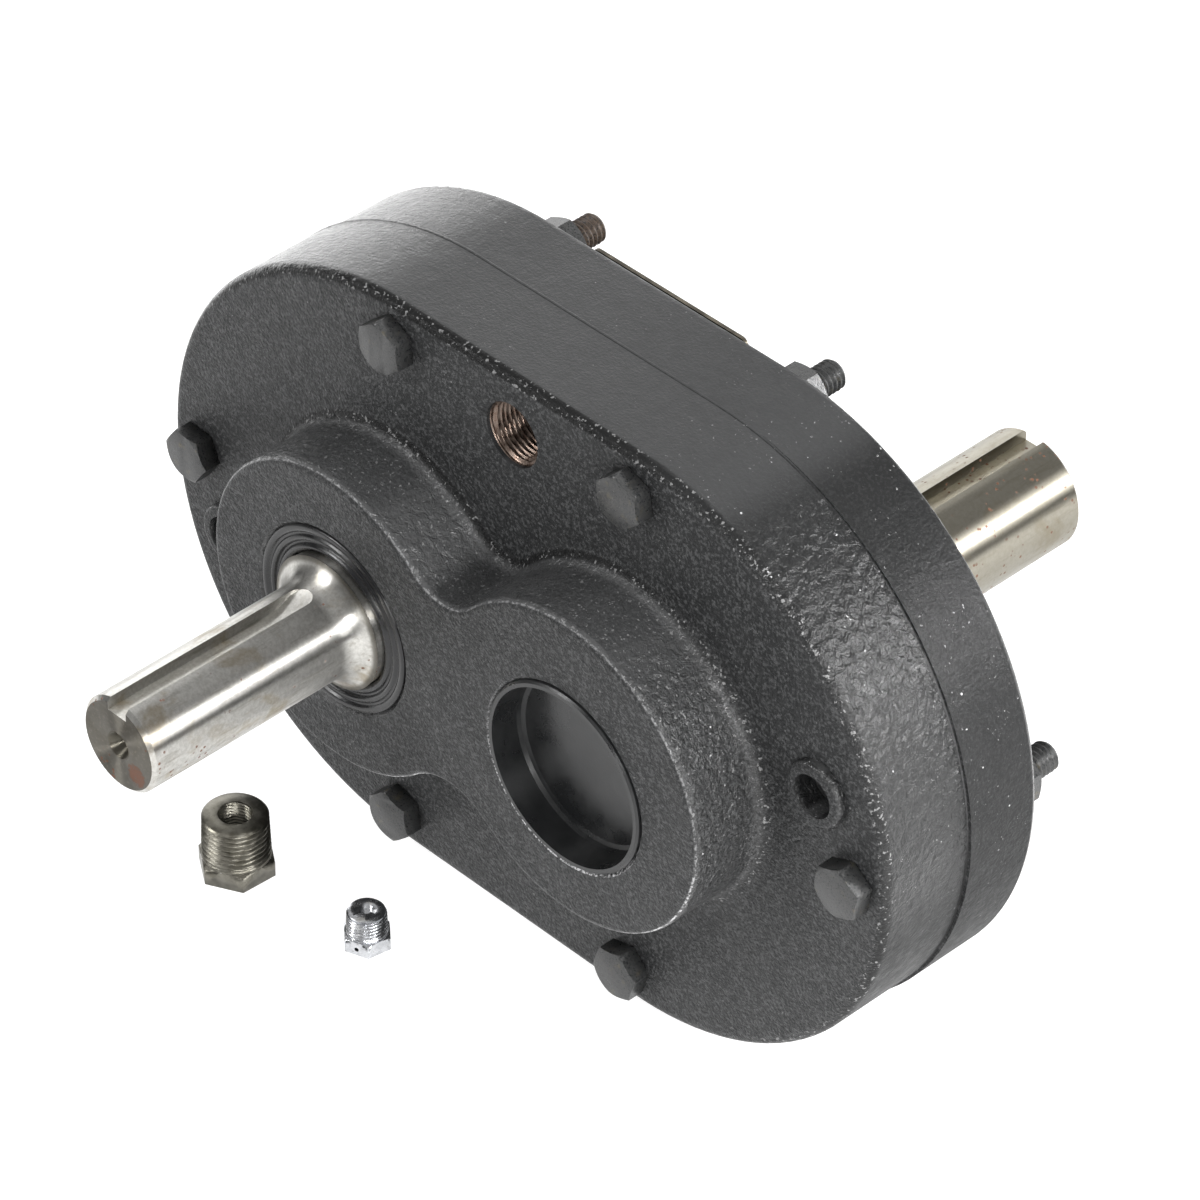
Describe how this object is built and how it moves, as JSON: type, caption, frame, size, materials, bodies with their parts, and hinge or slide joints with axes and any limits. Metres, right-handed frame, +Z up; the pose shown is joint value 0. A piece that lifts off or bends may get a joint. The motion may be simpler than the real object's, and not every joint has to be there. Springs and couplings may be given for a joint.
{
  "type": "industrial gearbox",
  "caption": "Parallel-shaft industrial gearbox: oval cast-iron case bolted together from halves, keyed input shaft in front, larger keyed output shaft behind, loose vent fittings.",
  "frame": {"origin": "on the flat long side the case rests on, midway between the shaft axes, in the parting plane of the case", "axes": "+Z up, +Y along both shafts towards the output shaft's end, +X across from the input axis to the output axis"},
  "size_m": [0.2443, 0.2244, 0.164],
  "materials": {
    "case_paint": "satin dark grey enamel over rough sand-cast iron",
    "gasket": "compressed fibre gasket, painted over at its edge",
    "bolt_paint": "dark grey enamel brushed over zinc-plated steel",
    "cup_paint": "smooth semi-gloss dark grey enamel on pressed steel",
    "shaft_steel": "turned and ground steel with light oil film and rust specks",
    "gear_steel": "hobbed and hardened gear steel",
    "bearing_steel": "ground bearing steel",
    "cage_steel": "pressed steel cage",
    "seal_rubber": "moulded black nitrile rubber",
    "plate_metal": "blank brushed aluminium plate, dulled",
    "fitting_steel": "machined dark oiled steel",
    "zinc_steel": "bright zinc-plated steel"
  },
  "bodies": {
    "housing": {"case_bolts": "bolt_paint", "case_nuts": "bolt_paint", "dowel_pins": "bearing_steel", "front_cup_plug": "cup_paint", "front_housing": "case_paint", "housing_gasket": "gasket", "input_front_outer_race": "bearing_steel", "input_rear_outer_race": "bearing_steel", "input_seal": "seal_rubber", "input_seal_spring": "bearing_steel", "nameplate": "plate_metal", "nameplate_rivets": "plate_metal", "output_front_outer_race": "bearing_steel", "output_rear_outer_race": "bearing_steel", "output_seal": "seal_rubber", "output_seal_spring": "bearing_steel", "port_plugs": "bolt_paint", "rear_cup_plug": "cup_paint", "rear_housing": "case_paint"},
    "input_rotor": {"input_front_inner_race": "bearing_steel", "input_front_spacer": "gear_steel", "input_gear_key": "gear_steel", "input_rear_inner_race": "bearing_steel", "input_rear_spacer": "gear_steel", "input_shaft": "shaft_steel", "pinion": "gear_steel"},
    "output_rotor": {"output_front_inner_race": "bearing_steel", "output_front_spacer": "gear_steel", "output_gear": "gear_steel", "output_gear_key": "gear_steel", "output_rear_inner_race": "bearing_steel", "output_rear_spacer": "gear_steel", "output_shaft": "shaft_steel"},
    "input_ball_sets": {"input_front_ball_cage": "cage_steel", "input_front_balls": "bearing_steel", "input_rear_ball_cage": "cage_steel", "input_rear_balls": "bearing_steel"},
    "output_ball_sets": {"output_front_ball_cage": "cage_steel", "output_front_balls": "bearing_steel", "output_rear_ball_cage": "cage_steel", "output_rear_balls": "bearing_steel"},
    "bushing": {"vent_bushing": "fitting_steel"},
    "vent": {"vent_plug": "zinc_steel"}
  },
  "joints": [
    {"name": "output_spin", "type": "hinge", "parent": "housing", "child": "output_rotor", "pos_m": [0.03969, 0, 0.082], "axis": [0, 1, 0], "continuous": true},
    {"name": "input_spin", "type": "hinge", "parent": "housing", "child": "input_rotor", "pos_m": [-0.03969, 0, 0.082], "axis": [0, 1, 0], "continuous": true},
    {"name": "output_ball_roll", "type": "hinge", "parent": "housing", "child": "output_ball_sets", "pos_m": [0.03969, 0, 0.082], "axis": [0, 1, 0], "continuous": true},
    {"name": "input_ball_roll", "type": "hinge", "parent": "housing", "child": "input_ball_sets", "pos_m": [-0.03969, 0, 0.082], "axis": [0, 1, 0], "continuous": true},
    {"name": "bushing_lift", "type": "slide", "parent": "housing", "child": "bushing", "axis": [0, 0, 1], "range_m": [0, 0.04]},
    {"name": "vent_lift", "type": "slide", "parent": "housing", "child": "vent", "axis": [0, 0, 1], "range_m": [0, 0.04]}
  ],
  "couplings": [
    {"joint": "input_spin", "follows": "output_spin", "ratio": -1.7778},
    {"joint": "output_ball_roll", "follows": "output_spin", "ratio": 0.3981},
    {"joint": "input_ball_roll", "follows": "output_spin", "ratio": -0.70773}
  ]
}
